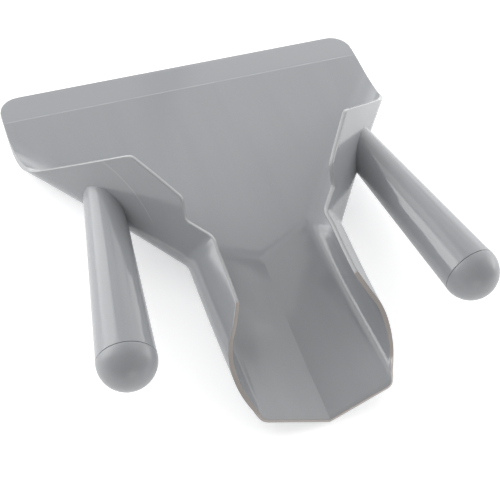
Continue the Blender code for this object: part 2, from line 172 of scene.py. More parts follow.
@dataclass(frozen=True)
class Bend:
    """Wall section: part of an ellipse that bends up out of the floor, then a straight lean inwards."""

    half_width: float
    half_height: float
    lean_length: float = 44.0

    def start(self, outermost: float, slope: Array) -> Array:
        """Distance at which the bend leaves a floor of a slope."""
        first = np.arctan(slope * self.half_width / self.half_height)
        return outermost - self.half_width * (1.0 - np.sin(first))

    def section(
        self, outermost: Array, floor: Array, slope: Array, lean: Array, v: Array,
    ) -> tuple[Array, Array]:
        """Point of the section at v: 1 at the floor's edge, 2 at the end of the bend, 3 at the top.

        The bend is out = outermost - w (1 - sin t), up = floor + h (cos t0 - cos t), with t from t0 to
        the angle at which the ellipse leans inwards by the lean; the lean adds a straight line.

        Args:
            outermost: Distance at which the wall is upright.
            floor: Height where the bend starts.
            slope: Slope of the floor there.
            lean: Lean of the wall above the bend, in radians.
            v: Place across the section.

        Returns:
            Distance outwards and height.
        """
        first = np.arctan(slope * self.half_width / self.half_height)
        last = math.pi / 2 + np.arctan(np.tan(lean) * self.half_height / self.half_width)
        turn = first + np.clip(v - 1.0, 0.0, 1.0) * (last - first)
        rise = np.clip(v - 2.0, 0.0, None) * self.lean_length
        out = outermost - self.half_width * (1.0 - np.sin(turn)) - rise * np.sin(lean)
        up = floor + self.half_height * (np.cos(first) - np.cos(turn)) + rise * np.cos(lean)
        return out, up


@dataclass(frozen=True)
class ScoopSheet:
    """Middle surface of the body's moulding, in millimetres in the design frame."""

    half_width: float = 109.2
    front_y: float = 148.4
    corner_radius: float = 12.0
    side_lean: float = 0.3
    side_curl: float = 0.005
    chute_out: float = 41.3
    chute_lean: float = math.radians(37.4)
    shoulder_angle: float = math.radians(35.0)
    shoulder_out: float = 35.0
    lean_near: float = math.radians(25.6)
    lean_far: float = math.radians(18.5)
    shoulder_run: float = 110.0
    shoulder_flare: float = 3.5
    neck_round: float = 7.0
    keel_depth: float = 6.2
    keel_run: float = 70.0
    vee_slope: float = 0.27
    vee_run: float = 100.0
    rim: tuple = (                  # distance from the neck, and height
        (-60.0, 30.0), (-35.5, 31.5), (3.5, 33.7), (21.3, 33.9), (31.0, 43.8), (68.5, 51.3), (111.5, 6.3))
    rim_round: float = 2.2
    tip_between: tuple = (60.0, 125.0)      # the rim meets the fan's outline between these distances
    end_between: tuple = (-30.0, -80.0)     # and the channel's cut end between these
    rim_middle: float = 0.45        # share of the rim at which rows run square across
    end_cut: tuple = (              # height, and place along Y
        (-8.0, -100.2), (-6.0, -99.1), (3.0, -94.2), (3.7, -91.5), (4.8, -86.0), (6.4, -81.4),
        (10.3, -73.7), (14.8, -66.3), (20.2, -59.5), (25.4, -53.0), (29.7, -46.2), (33.0, -40.3),
        (40.0, -28.0))
    end_round: float = 0.8
    chute: Bend = Bend(10.5, 14.0)
    shoulder: Bend = Bend(19.4, 14.0)

    @staticmethod
    def rounded_line(at: Array, knots: tuple, reach: float) -> Array:
        """A broken line through knots, averaged over a short window so that its corners are round."""
        x, y = np.array(knots).T
        return np.mean([np.interp(at + step, x, y) for step in np.linspace(-reach, reach, 9)], axis=0)

    def keel(self, s: Array) -> tuple[Array, Array]:
        """Height of the keel and cross slope of the floor: depth (1 - (1 - b / run)^2).

        b is -s along the channel, and starts in the fan as the parabola (w - s)^2 / 4w for s within w
        of the neck, so that the floor folds over softly.
        """
        soft = self.neck_round
        back = np.where(s < -soft, -s, np.clip(soft - s, 0.0, None) ** 2 / (4.0 * soft))
        height = -self.keel_depth * (1.0 - (1.0 - np.clip(back / self.keel_run, 0.0, 1.0)) ** 2)
        return height, self.vee_slope * np.clip(back / self.vee_run, 0.0, 1.0)

    def shoulder_lean(self, s: Array) -> Array:
        """Lean of the shoulder's wall, from near to far along its run."""
        share = np.clip(s / self.shoulder_run, 0.0, 1.0)
        return self.lean_near + (self.lean_far - self.lean_near) * share

    def shoulder_outermost(self, s: Array) -> Array:
        """Distance square to the shoulder at which its wall is upright; it flares as s squared."""
        return self.shoulder_out + self.shoulder_flare * (np.clip(s, 0.0, None) / self.shoulder_run) ** 2

    def point(self, s: Array, v: Array) -> Array:
        """Point of the sheet.

        A channel section (a V floor and a wall) and a shoulder section meet at the neck. Each line of
        constant v runs straight along the channel, turns through an arc of parabola and runs on along
        the shoulder; heights change over between the two sections with a smooth step.

        Args:
            s: Distance from the neck's corner, negative along the channel.
            v: Place across: 0 on the centre line, 1 where the bend starts, 2 where it ends, 3 at the top.

        Returns:
            Points, with X, Y and Z on the last axis.
        """
        s, v = np.broadcast_arrays(np.asarray(s, dtype=float), np.asarray(v, dtype=float))
        across = np.clip(v, 0.0, 1.0)
        on_floor = v < 1.0
        cosine, sine = math.cos(self.shoulder_angle), math.sin(self.shoulder_angle)
        none = np.zeros(s.shape)

        keel, slope = self.keel(s)
        floor_x = self.chute.start(self.chute_out, slope)
        wall_x, wall_z = self.chute.section(
            self.chute_out, keel + slope * floor_x, slope, self.chute_lean, v)
        chute_x = np.where(on_floor, across * floor_x, wall_x)
        chute_z = np.where(on_floor, keel + slope * across * floor_x, wall_z)

        wall_n, shoulder_z = self.shoulder.section(
            self.shoulder_outermost(s), none, none, self.shoulder_lean(s), v)
        shoulder_z = np.where(on_floor, 0.0, shoulder_z)

        neck_x = self.chute.start(self.chute_out, none)
        neck_n = self.shoulder.start(self.shoulder_out, none)
        neck_y = (neck_x * cosine - neck_n) / sine
        corner_x, _ = self.chute.section(self.chute_out, none, none, self.chute_lean, v)
        corner_n, _ = self.shoulder.section(self.shoulder_out, none, none, self.lean_near, v)
        corner_y = np.where(on_floor, neck_y * across, (corner_x * cosine - corner_n) / sine)

        angle = self.shoulder_angle * across
        bend = self.neck_round
        ramp = np.where(s > bend, s, np.clip(s + bend, 0.0, None) ** 2 / (4.0 * bend))
        shift = across * (wall_n - corner_n)
        x = chute_x + np.sin(angle) * ramp + cosine * shift
        y = corner_y + (s - ramp) + np.cos(angle) * ramp - sine * shift
        mix = smooth_step((s + bend) / (2.0 * bend))
        return np.stack((x, y, chute_z * (1.0 - mix) + shoulder_z * mix), axis=-1)

    def in_fan(self, p: Array) -> Array:
        """True inside the fan's outline, a rectangle with round corners whose sides lean in with height."""
        height = np.clip(p[..., 2], 0.0, None)
        half = self.half_width - self.side_lean * height - self.side_curl * height ** 2
        dx = np.clip(p[..., 0] - (half - self.corner_radius), 0.0, None)
        dy = np.clip(p[..., 1] - (self.front_y - self.corner_radius), 0.0, None)
        return np.hypot(dx, dy) < self.corner_radius

    def before_end(self, p: Array) -> Array:
        """True forward of the channel's cut end."""
        return p[..., 1] > self.rounded_line(p[..., 2], self.end_cut, self.end_round)

    def rim_v(self, s: Array) -> Array:
        """Place across at which the sheet reaches the rim's height."""
        height = self.rounded_line(s, self.rim, self.rim_round)
        one = np.ones(np.shape(s))
        return bisect(one, 3.0 * one, lambda v: self.point(s, v)[..., 2] < height)

    def half_grid(self, along: Array, floor: Array, wall: Array) -> Array:
        """Grid over the right half, with rows that change from the cut end's shape to the front's.

        Args:
            along: Rows as shares of the rim's length, from the cut end to the fan's tip.
            floor: Columns over the floor, as shares from the centre line to the wall's bend.
            wall: Columns over the wall, as shares from the bend's start to the rim.

        Returns:
            Points by row and column.
        """
        s_tip = float(bisect(*self.tip_between, lambda s: self.in_fan(self.point(s, self.rim_v(s)))))
        s_end = float(bisect(*self.end_between, lambda s: self.before_end(self.point(s, self.rim_v(s)))))
        wall_part = np.concatenate((np.zeros(len(floor) - 1), wall))
        floor_part = np.concatenate((floor[:-1], np.ones(len(wall))))
        v_front = floor_part + wall_part * (float(self.rim_v(s_tip)) - 1.0)
        v_back = floor_part + wall_part * (float(self.rim_v(s_end)) - 1.0)
        near = np.full(v_front.shape, 20.0)     # both outlines lie further from the neck than this
        front = bisect(near, near + 180.0, lambda s: self.in_fan(self.point(s, v_front)))
        back = bisect(-near, -near - 110.0, lambda s: self.before_end(self.point(s, v_back)))
        middle = self.rim_middle
        to_back = (np.clip(1.0 - along / middle, 0.0, 1.0) ** 2)[:, None]
        to_front = (np.clip((along - middle) / (1.0 - middle), 0.0, 1.0) ** 2)[:, None]
        s_rim = (s_end + (s_tip - s_end) * along)[:, None]
        s = s_rim + (back - s_end)[None] * to_back + (front - s_tip)[None] * to_front
        v = floor_part[None] + wall_part[None] * (self.rim_v(np.clip(s, s_end, s_tip)) - 1.0)
        return self.point(s, v)


@dataclass(frozen=True)
class RestPose:
    """How the scoop lies: turned about X and let down on to its front edge and its keel."""

    tilt: float
    middle: float
    drop: float

    @classmethod
    def of(cls, sheet: ScoopSheet, wall: float, lip: float) -> "RestPose":
        """The pose in which the keel and the front edge's underside touch the table.

        Args:
            sheet: The body's sheet.
            wall: Thickness of the moulding.
            lip: Thickness at the front edge.

        Returns:
            The pose.
        """
        s = np.linspace(0.0, -115.0, 231)       # every half millimetre, past the cut end
        keel = sheet.point(s, np.zeros(s.shape))
        kept = sheet.before_end(keel)
        _, slope = sheet.keel(s)
        low = keel[kept, 2] - wall / 2.0 * np.hypot(1.0, slope[kept])
        y = keel[kept, 1]
        tilt = math.atan(float(np.min((low + lip / 2.0) / (sheet.front_y - y))))
        middle = (sheet.front_y + float(y.min())) / 2.0 * math.cos(tilt)
        return cls(tilt, middle, sheet.front_y * math.sin(tilt) - lip / 2.0 * math.cos(tilt))

    def matrix(self) -> Matrix:
        """Design frame to row frame, both in metres."""
        down = Matrix.Translation((0.0, -self.middle * MM, -self.drop * MM))
        return down @ Matrix.Rotation(self.tilt, 4, "X")

    def to_row(self, points: Array) -> Array:
        """Points in millimetres in the design frame, as metres in the row frame."""
        turn = np.array(self.matrix())
        return points @ turn[:3, :3].T * MM + turn[:3, 3]


# -------- materials


def linear(code: str) -> tuple[float, float, float, float]:
    """An sRGB hex colour as linear red, green, blue and alpha."""
    values = [int(code[i:i + 2], 16) / 255.0 for i in (1, 3, 5)]
    red, green, blue = ((v / 12.92 if v <= 0.04045 else ((v + 0.055) / 1.055) ** 2.4) for v in values)
    return red, green, blue, 1.0


def set_inputs(tree: Tree, node: bpy.types.Node, inputs: dict[str | int, Any]) -> None:
    """Give each named or numbered input of a node its value, or a link from an output socket."""
    for key, value in inputs.items():
        if isinstance(value, Socket):
            tree.links.new(value, node.inputs[key])
        else:
            node.inputs[key].default_value = value


def add_node(
    tree: Tree, kind: str, inputs: dict[str | int, Any] | None = None, **settings: Any,
) -> bpy.types.Node:
    """Add a node with its settings, values and links.

    Args:
        tree: The material's node tree.
        kind: The node's type.
        inputs: Value or output socket for each input, by name or number.
        **settings: The node's own properties.

    Returns:
        The node.
    """
    node = tree.nodes.new(kind)
    for name, value in settings.items():
        setattr(node, name, value)
    set_inputs(tree, node, inputs or {})
    return node


def new_material(name: str) -> tuple[Material, Tree, bpy.types.Node]:
    """An empty material, its node tree and its Principled shader."""
    material = bpy.data.materials.new(name)
    material.use_nodes = True
    tree = material.node_tree
    return material, tree, tree.nodes["Principled BSDF"]


@dataclass(frozen=True)
class MouldedPlastic:
    """Grey polycarbonate, injection moulded against a fine-polished steel mould.

    Its skin is an even mid grey and semi-gloss, with faint streaks along the flow, a grain too fine
    to see one by one, and lighter edges, a painted highlight along the rim and the front.
    """

    name: str = "polycarbonate_injection_moulded"
    base: str = "#8f9194"
    shade: str = "#8c8e91"
    # painted highlight along the rim and the front edge
    edge: str = "#9b9c9d"
    cut: str = "#9f9894"
    line: str = "#a6a8ab"
    # painted highlight on the lip's crease and on the mould witness arc
    lip: str = "#929497"
    roughness: float = 0.115
    gloss_play: tuple = (-0.015, 0.02)      # change of roughness across the flow streaks
    ior: float = 1.52
    flow_width: float = 14.0        # mm from streak to streak
    grain: float = 0.55             # mm; the real grain of 0.05 mm would not show
    grain_depth: float = 0.006      # mm
    grain_tint: float = 0.03        # share by which the grain lightens and darkens the skin
    wave: float = 38.0              # mm between the skin's slow waves
    wave_depth: float = 0.05        # mm
    arc_centre: tuple = (-0.10461, 0.01733, -0.01639)   # m; the witness arc, drawn as a painted highlight, is at one distance from it
    arc_radius: float = 0.07065
    arc_middle: tuple = (-0.0620, 0.0135, 0.0395)       # m; and fades out away from this point
    arc_reach: float = 0.024
    arc_strength: float = 0.45
    lip_y: float | None = None      # m along Y, where the lip begins
    lip_strength: float = 0.3       # of its line where it is faintest
    line_width: float = 0.45        # mm, of each painted highlight line

    def build(self) -> Material:
        """Make the material.

        Returns:
            The material.
        """
        material, tree, shader = new_material(self.name)
        place = add_node(tree, "ShaderNodeTexCoord").outputs["Object"]
        stretched = add_node(
            tree, "ShaderNodeMapping", {"Vector": place, "Scale": (1.0, 0.12, 0.5)}).outputs["Vector"]
        flow, wave, grain = (
            add_node(tree, "ShaderNodeTexNoise", {
                "Vector": at, "Scale": 1.0 / (size * MM), "Detail": detail, "Roughness": rough,
            }).outputs["Fac"]
            for at, size, detail, rough in (
                (stretched, self.flow_width, 3.0, 0.55), (place, self.wave, 1.0, 0.5),
                (place, self.grain, 2.0, 0.6)))
        flow_share = add_node(tree, "ShaderNodeMapRange", {"Value": flow, **NOISE_RANGE}).outputs["Result"]
        colour = add_node(tree, "ShaderNodeMix", {
            0: flow_share, 6: linear(self.base), 7: linear(self.shade)}, data_type="RGBA").outputs[2]
        fleck = add_node(tree, "ShaderNodeMapRange", {
            "Value": grain, **NOISE_RANGE, "To Min": 1.0 - self.grain_tint, "To Max": 1.0 + self.grain_tint,
        }).outputs["Result"]
        colour = add_node(tree, "ShaderNodeMix", {
            0: 1.0, 6: colour, 7: fleck}, data_type="RGBA", blend_type="MULTIPLY").outputs[2]
        # The lip's tint, and painted highlight lines on the lip's crease and along the witness arc
        if self.lip_y is not None:
            colour = self.add_lines(tree, place, colour, flow)
        # First the painted highlight along the rim and the front edge, then the tan band at the channel's
        # cut end
        for attribute, tint in (("rim_highlight", self.edge), ("cut_edge", self.cut)):
            share = add_node(tree, "ShaderNodeAttribute", attribute_name=attribute).outputs["Fac"]
            colour = add_node(tree, "ShaderNodeMix", {
                0: share, 6: colour, 7: linear(tint)}, data_type="RGBA").outputs[2]
        height = 0.0
        for noise, depth in ((grain, self.grain_depth), (wave, self.wave_depth)):
            height = add_node(tree, "ShaderNodeMath", {
                0: noise, 1: depth * MM, 2: height}, operation="MULTIPLY_ADD").outputs[0]
        bump = add_node(tree, "ShaderNodeBump", {"Height": height, "Distance": 1.0, "Strength": 1.0})
        rough = add_node(tree, "ShaderNodeMapRange", {
            "Value": flow, **NOISE_RANGE,
            "To Min": self.roughness + self.gloss_play[0], "To Max": self.roughness + self.gloss_play[1],
        }).outputs["Result"]
        set_inputs(tree, shader, {
            "Base Color": colour, "Roughness": rough, "Normal": bump.outputs["Normal"], "IOR": self.ior})
        return material

    def near(self, tree: Tree, value: Socket, centre: float) -> Socket:
        """1 where a value is within half a line's width of a centre, falling to 0 at a whole width.

        Args:
            tree: The material's node tree.
            value: The value, in metres.
            centre: Its value on the line.

        Returns:
            The line's share.
        """
        half = self.line_width * MM / 2.0
        away = add_node(tree, "ShaderNodeMath", {0: value, 1: -centre}, operation="ADD").outputs[0]
        away = add_node(tree, "ShaderNodeMath", {0: away}, operation="ABSOLUTE").outputs[0]
        return add_node(tree, "ShaderNodeMapRange", {
            "Value": away, "From Min": half, "From Max": 2.0 * half, "To Min": 1.0, "To Max": 0.0,
        }).outputs["Result"]

    def add_lines(self, tree: Tree, place: Socket, colour: Socket, flow: Socket) -> Socket:
        """Lighten the thin lip, and paint two thin highlight lines.

        One is a painted highlight on the crease where the lip begins, and fades in places. The other is a
        mould witness line drawn as a painted highlight, where a sphere cuts the left shoulder's wall, and
        fades away from its middle.

        Args:
            tree: The material's node tree.
            place: Object coordinates.
            colour: Colour of the plain skin.
            flow: Noise of the flow streaks, which the first line fades with.

        Returns:
            The colour with the lip and the lines.
        """
        along = add_node(tree, "ShaderNodeSeparateXYZ", {"Vector": place}).outputs["Y"]
        half = self.line_width * MM / 2.0
        inside = add_node(tree, "ShaderNodeMapRange", {
            "Value": along, "From Min": self.lip_y - half, "From Max": self.lip_y + half}).outputs["Result"]
        colour = add_node(tree, "ShaderNodeMix", {
            0: inside, 6: colour, 7: linear(self.lip)}, data_type="RGBA").outputs[2]
        strength = add_node(tree, "ShaderNodeMapRange", {
            "Value": flow, "From Min": 0.35, "From Max": 0.65, "To Min": self.lip_strength, "To Max": 1.0,
        }).outputs["Result"]
        from_centre, from_middle = (
            add_node(tree, "ShaderNodeVectorMath", {0: place, 1: at}, operation="DISTANCE").outputs["Value"]
            for at in (self.arc_centre, self.arc_middle))
        fade = add_node(tree, "ShaderNodeMapRange", {
            "Value": from_middle, "From Min": 0.7 * self.arc_reach, "From Max": self.arc_reach,
            "To Min": self.arc_strength, "To Max": 0.0}).outputs["Result"]
        # Both lines are painted highlights, lighter than the skin: the lip's crease and the witness arc
        lines = (
            (self.near(tree, along, self.lip_y), strength),
            (self.near(tree, from_centre, self.arc_radius), fade))
        for line, share in lines:
            share = add_node(tree, "ShaderNodeMath", {0: line, 1: share}, operation="MULTIPLY").outputs[0]
            colour = add_node(tree, "ShaderNodeMix", {
                0: share, 6: colour, 7: linear(self.line)}, data_type="RGBA").outputs[2]
        return colour


@dataclass(frozen=True)
class HeadedSteel:
    """Stainless steel, cold headed or stamped and tumbled: bright, with fine random scratches."""

    name: str = "stainless_steel_cold_headed"
    base: str = "#c4c5c6"
    roughness: float = 0.28
    scratch: float = 0.4            # mm from scratch to scratch

    def build(self) -> Material:
        """Make the material.

        Returns:
            The material.
        """
        material, tree, shader = new_material(self.name)
        place = add_node(tree, "ShaderNodeTexCoord").outputs["Object"]
        noise = add_node(tree, "ShaderNodeTexNoise", {
            "Vector": place, "Scale": 1.0 / (self.scratch * MM), "Detail": 4.0}).outputs["Fac"]
        rough = add_node(tree, "ShaderNodeMapRange", {
            "Value": noise, "To Min": self.roughness - 0.08, "To Max": self.roughness + 0.1,
        }).outputs["Result"]
        bump = add_node(tree, "ShaderNodeBump", {"Height": noise, "Distance": 0.01 * MM, "Strength": 1.0})
        set_inputs(tree, shader, {
            "Base Color": linear(self.base), "Metallic": 1.0, "Roughness": rough,
            "Normal": bump.outputs["Normal"]})
        return material


# -------- the body


@dataclass
class ScoopBody:
    """The one-piece moulding: the sheet with its thickness and its rounded edges."""

    sheet: ScoopSheet
    rest: RestPose
    wall: float = 2.4
    lip_edge: float = 1.4
    lip_depth: float = 19.0
    rim_radius: float = 0.7
    front_radius: float = 0.5
    cut_radius: float = 0.3
    edge_steps: int = 4
    keel_from: float = 4.0          # behind the origin, where the keel's edge starts
    highlight_width: float = 0.6         # of the painted highlight band along the rim
    front_highlight: float = 0.6         # strength of the same painted highlight along the front
    cut_width: float = 0.35         # of the tan band round the channel's end

    @staticmethod
    def rows() -> Array:
        """Rows as shares of the rim's length, closer together where the rim bends."""
        spans = ((0.0, 0.16, 22), (0.16, 0.27, 12), (0.27, 0.47, 52), (0.47, 0.66, 18), (0.66, 0.74, 14))
        parts = [np.linspace(low, high, count, endpoint=False) for low, high, count in spans]
        return np.concatenate((*parts, np.linspace(0.74, 1.0, 34)))

    def add_edge_lines(self, grid: Array, axis: int, first: float, last: float) -> Array:
        """Add lines of points close to both ends of one axis, for the edges to be rounded over.

        Each new point lies between the end point and its neighbour, at r (1 - cos a) from the end for
        even steps of the angle a, r being the edge's radius.

        Args:
            grid: Points by row and column.
            axis: The axis to add to.
            first: Radius of the edge where the axis starts.
            last: Radius of the edge where it ends.

        Returns:
            The larger grid.
        """
        lines = np.moveaxis(grid, axis, 0)

        def close_to(edge: Array, inner: Array, radius: float) -> Array:
            """Points near one edge, ordered from the edge inwards."""
            length = np.linalg.norm(inner - edge, axis=-1, keepdims=True)
            angles = np.linspace(0.0, math.pi / 2, self.edge_steps + 1)[1:]
            far = radius * (1.0 - np.cos(angles))[:, None, None]
            most = 0.9 * length[None] * (angles / angles[-1])[:, None, None]
            far = np.minimum(far, most)         # never past the neighbour
            return edge[None] + (inner - edge)[None] * far / np.maximum(length[None], 1e-9)

        start = close_to(lines[0], lines[1], first)
        end = close_to(lines[-1], lines[-2], last)[::-1]
        return np.moveaxis(np.concatenate((lines[:1], start, lines[1:-1], end, lines[-1:])), 0, axis)

    @staticmethod
    def distance_from(grid: Array, axis: int, backwards: bool) -> Array:
        """Length along the grid's lines from one end of an axis."""
        lines = np.moveaxis(grid, axis, 0)
        if backwards:
            lines = lines[::-1]
        steps = np.linalg.norm(np.diff(lines, axis=0), axis=-1)
        length = np.concatenate((np.zeros((1, steps.shape[1])), np.cumsum(steps, axis=0)))
        return np.moveaxis(length[::-1] if backwards else length, 0, axis)

    @staticmethod
    def rounded(half: Array, radius: float, distance: Array) -> Array:
        """Half thickness near an edge: h - r + sqrt(r^2 - (r - d)^2) for d up to r."""
        short = radius - np.clip(distance, 0.0, radius)
        return half - radius + np.sqrt(radius ** 2 - short ** 2)

    @staticmethod
    def crease_keel(piece: Object, rows: int, columns: int, first: int, last: int) -> None:
        """Keep the keel's edge sharp on both skins, between two rows of the grid.

        Args:
            piece: The body.
            rows: Rows of the grid.
            columns: Columns of the grid; the keel is the middle one.
            first: First row of the sharp part.
            last: Last row of the sharp part.
        """
        keel = np.arange(first, last + 1) * columns + columns // 2
        wanted = np.concatenate((keel, keel + rows * columns))
        ends = np.empty(len(piece.data.edges) * 2, dtype=np.int32)
        piece.data.edges.foreach_get("vertices", ends)
        on_keel = np.isin(ends.reshape(-1, 2), wanted).all(axis=1)
        for edge in np.flatnonzero(on_keel):
            piece.data.edges[int(edge)].use_edge_sharp = True

    def build(self) -> Object:
        """Make the body.

        The middle surface is mirrored to its full width. The two skins are p + n h and p - n h, with
        n the unit cross product of the differences along the two axes, and h the half thickness: it
        falls along the lip towards the front, and round every edge.

        Returns:
            The piece.
        """
        floor = np.concatenate((np.linspace(0.0, 0.7, 10, endpoint=False), np.linspace(0.7, 1.0, 12)))
        wall = np.linspace(0.0, 1.0, 48)
        half_grid = self.sheet.half_grid(self.rows(), floor, wall)
        half_grid[:, 0, 0] = 0.0
        mirrored = half_grid[:, :0:-1] * np.array([-1.0, 1.0, 1.0])
        grid = np.concatenate((mirrored, half_grid), axis=1)
        grid = self.add_edge_lines(grid, 1, self.rim_radius, self.rim_radius)
        grid = self.add_edge_lines(grid, 0, self.cut_radius, self.front_radius)

        to_rim = np.minimum(self.distance_from(grid, 1, False), self.distance_from(grid, 1, True))
        to_cut = self.distance_from(grid, 0, False)
        to_front = self.distance_from(grid, 0, True)
        lip = np.clip((grid[..., 1] - self.sheet.front_y + self.lip_depth) / self.lip_depth, 0.0, 1.0)
        plain = (self.wall - (self.wall - self.lip_edge) * lip) / 2.0
        half = np.minimum.reduce((
            self.rounded(plain, np.minimum(self.rim_radius, 0.9 * self.lip_edge / 2.0), to_rim),
            self.rounded(plain, self.cut_radius, to_cut),
            self.rounded(plain, self.front_radius, to_front)))

        normal = np.cross(np.gradient(grid, axis=1), np.gradient(grid, axis=0))
        normal /= np.maximum(np.linalg.norm(normal, axis=-1, keepdims=True), 1e-12)
        top = grid + normal * half[..., None]
        bottom = grid - normal * half[..., None]
        rows, columns = grid.shape[:2]
        count = rows * columns
        quads = grid_quads(rows, columns)
        index = np.arange(count).reshape(rows, columns)
        loop = np.concatenate((index[0, :-1], index[:-1, -1], index[-1, :0:-1], index[:0:-1, 0]))
        onwards = np.roll(loop, -1)
        edge = np.stack((onwards, loop, loop + count, onwards + count), axis=-1)
        faces = np.concatenate((quads, quads[:, ::-1] + count, edge))
        points = self.rest.to_row(np.concatenate((top.reshape(-1, 3), bottom.reshape(-1, 3))))
        piece = make_piece("scoop_body_skin", points, faces.tolist(), 24.0)
        in_channel = np.flatnonzero(grid[:, columns // 2, 1] < -self.keel_from)
        self.crease_keel(piece, rows, columns, int(in_channel[0]), int(in_channel[-1]))
        # Painted highlight along the rim and the front edge, and the tan band round the channel's cut end
        highlight, front_highlight, cut = (np.clip(1.0 - away / width, 0.0, 1.0) for away, width in (
            (to_rim, self.highlight_width), (to_front, self.highlight_width), (to_cut, self.cut_width)))
        highlight = np.maximum(highlight * (to_cut > 1.0), self.front_highlight * front_highlight)
        paint(piece, "rim_highlight", np.tile(highlight.ravel(), 2))
        paint(piece, "cut_edge", np.tile(cut.ravel(), 2))
        declare(piece, "scoop_body")
        return piece


# -------- handles and caps


@dataclass
class HandleLine:
    """The axis and the taper that a handle, its stud and its cap share."""

    sheet: ScoopSheet
    rest: RestPose
    side: Side
    root: tuple = (74.2, 43.4, 17.0)
    seam: tuple = (90.6, -55.8, 25.6)
    root_radius: float = 10.4
    seam_radius: float = 14.8
    wall: float = 2.6
    seam_gap: float = 0.2
    edge: float = 0.25              # radius of the edges on both sides of the seam
    bead_at: float = 7.0            # below the seam
    bead_width: float = 2.0
    bead_height: float = 0.45
    steps: int = 112
    meets_between: tuple = (-14.0, 40.0)    # distances between which the shoulder's wall is met

    def length(self) -> float:
        """Distance from the root to the seam."""
        return float(np.linalg.norm(np.subtract(self.seam, self.root)))

    def outer(self, along: Array) -> Array:
        """Outside radius of the taper at a distance from the root."""
        return self.root_radius + (self.seam_radius - self.root_radius) * along / self.length()

    def turned(self, radius: Array, along: Array) -> Array:
        """Points round the axis, root + along a + radius (cos t u + sin t w), mirrored on the left.

        Args:
            radius: Radius, by place on the profile, or by place and angle.
            along: Distance along the axis, in the same form.

        Returns:
            Points by place on the profile and angle, in millimetres.
        """
        axis = np.subtract(self.seam, self.root) / self.length()
        first = np.cross(axis, (0.0, 0.0, 1.0))
        first /= np.linalg.norm(first)
        second = np.cross(axis, first)
        angle = np.linspace(0.0, 2.0 * math.pi, self.steps, endpoint=False)
        ring = np.cos(angle)[:, None] * first + np.sin(angle)[:, None] * second
        radius, along = (
            np.broadcast_to(values if values.ndim == 2 else values[:, None], (len(values), self.steps))
            for values in (radius, along))
        points = np.array(self.root) + along[..., None] * axis + radius[..., None] * ring
        return points * np.array([float(self.side.value), 1.0, 1.0])

    def saddle(self, radius: float, offset: float) -> Array:
        """Distance along the axis at which a tube meets the shoulder's wall, for each angle.

        A point is inside when it is less far square to the shoulder than the wall's middle at its
        height, plus the offset times sqrt(1 + slope^2).

        Args:
            radius: Radius of the tube.
            offset: Distance of the surface met from the wall's middle.

        Returns:
            One distance for each angle.
        """
        sheet, bend = self.sheet, self.sheet.shoulder
        cosine, sine = math.cos(sheet.shoulder_angle), math.sin(sheet.shoulder_angle)
        corner = sheet.chute_out * sine + (sheet.chute_out * cosine - sheet.shoulder_out) / sine * cosine

        def wall_n(z: Array, s: Array) -> Array:
            """Distance of the wall's middle, square to the shoulder, at a height."""
            lean = sheet.shoulder_lean(s)
            last = math.pi / 2 + np.arctan(np.tan(lean) * bend.half_height / bend.half_width)
            top = bend.half_height * (1.0 - np.cos(last))
            low = np.clip(z, 0.0, top)
            curve = bend.half_width * (1.0 - np.sqrt(1.0 - (1.0 - low / bend.half_height) ** 2))
            return sheet.shoulder_outermost(s) - curve - np.clip(z - top, 0.0, None) * np.tan(lean)

        def inside(along: Array) -> Array:
            """True where the tube's wall is still inside the shoulder."""
            p = self.turned(np.full((1, self.steps), radius), along[None])[0]
            x, y, z = abs(p[:, 0]), p[:, 1], p[:, 2]
            s = x * sine + y * cosine - corner
            step = 0.05
            slope = (wall_n(z + step, s) - wall_n(z - step, s)) / (2.0 * step)
            return x * cosine - y * sine < wall_n(z, s) + offset * np.sqrt(1.0 + slope ** 2)

        return bisect(*(np.full(self.steps, at) for at in self.meets_between), inside)

    def piece(self, name: str, points: Array, closed: bool) -> Object:
        """A closed piece from rings of points: a loop of rings, or a row with a pole at each end.

        Args:
            name: Name of the piece.
            points: Points by ring and angle, in millimetres.
            closed: Whether the last ring joins the first. If not, each end ring is one point.

        Returns:
            The piece, with its faces outwards.
        """
        rings = len(points)
        if closed:
            flat = points.reshape(-1, 3)
            faces = (grid_quads(rings + 1, self.steps, wrap=True) % len(flat)).tolist()
        else:
            flat = np.concatenate((points[0, :1], points[1:-1].reshape(-1, 3), points[-1, :1]))
            faces = (grid_quads(rings - 2, self.steps, wrap=True) + 1).tolist()
            here = np.arange(self.steps)
            after = np.roll(here, -1)
            last = 1 + (rings - 3) * self.steps
            fans = ((0, 1 + after, 1 + here), (len(flat) - 1, last + here, last + after))
            for fan in fans:
                faces += np.stack(np.broadcast_arrays(*fan), axis=-1).tolist()
        made = make_piece(name, self.rest.to_row(flat), faces, 30.0)
        self.turn_outwards(made)
        return made

    @staticmethod
    def turn_outwards(piece: Object) -> None:
        """Flip a closed piece whose signed volume is negative."""
        mesh = piece.data
        mesh.calc_loop_triangles()
        corners = np.empty(len(mesh.loop_triangles) * 3, dtype=np.int32)
        mesh.loop_triangles.foreach_get("vertices", corners)
        points = np.empty(len(mesh.vertices) * 3)
        mesh.vertices.foreach_get("co", points)
        a, b, c = np.moveaxis(points.reshape(-1, 3)[corners.reshape(-1, 3)], 1, 0)
        if float(np.sum(a * np.cross(b, c))) < 0.0:
            mesh.flip_normals()


